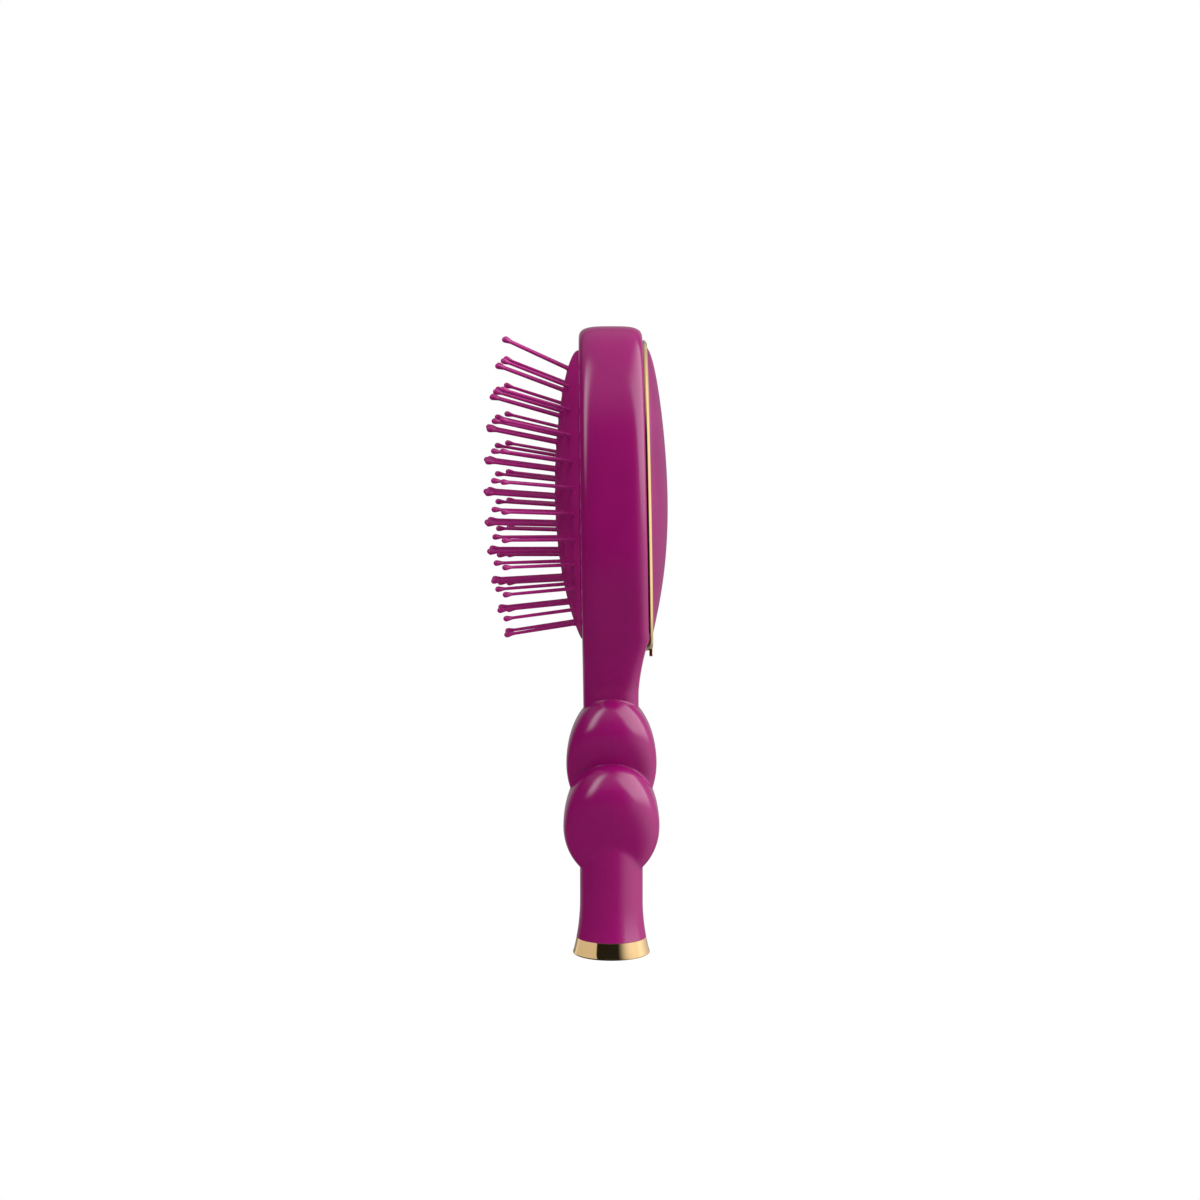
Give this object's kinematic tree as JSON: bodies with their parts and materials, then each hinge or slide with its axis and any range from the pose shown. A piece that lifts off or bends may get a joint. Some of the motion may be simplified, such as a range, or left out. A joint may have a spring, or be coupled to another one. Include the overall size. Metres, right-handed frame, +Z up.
{
  "type": "detangling brush",
  "caption": "Oval detangling brush with ball-tipped pins on a press-in cushion, a two-part swelling handle, a trimmed domed back cover and a plated foot it stands on.",
  "frame": {"origin": "middle of the foot's flat face, on which the brush stands", "axes": "+Z up along the handle to the top of the head, -X the way the pins point, +X towards the back cover, +Y across the head"},
  "size_m": [0.0546, 0.059, 0.188],
  "materials": {
    "shell_plastic": "satin magenta lacquer",
    "cover_plastic": "satin magenta lacquer",
    "tray_plastic": "moulded, unlacquered",
    "cushion_rubber": "finely dimpled, matt",
    "pin_nylon": "moulded nylon, soft sheen",
    "gold_plate": "polished light gold plating"
  },
  "bodies": {
    "handle": {"front_shell": "shell_plastic", "back_shell": "shell_plastic", "pad_tray": "tray_plastic", "trim_ring": "gold_plate", "back_cover": "cover_plastic", "foot_cap": "gold_plate"},
    "bristle_bed": {"cushion": "cushion_rubber", "pins_outer_1": "pin_nylon", "pins_outer_2": "pin_nylon", "pins_outer_3": "pin_nylon", "pins_outer_4": "pin_nylon", "pins_outer_5": "pin_nylon", "pins_outer_6": "pin_nylon", "pins_middle_1": "pin_nylon", "pins_middle_2": "pin_nylon", "pins_middle_3": "pin_nylon", "pins_middle_4": "pin_nylon", "pins_inner_1": "pin_nylon", "pins_inner_2": "pin_nylon", "pins_centre": "pin_nylon"}
  },
  "joints": [
    {"name": "cushion_press", "type": "slide", "parent": "handle", "child": "bristle_bed", "axis": [1, 0, 0], "range_m": [0, 0.003], "stiffness_N_per_m": 1500, "deforming": ["cushion"]}
  ]
}
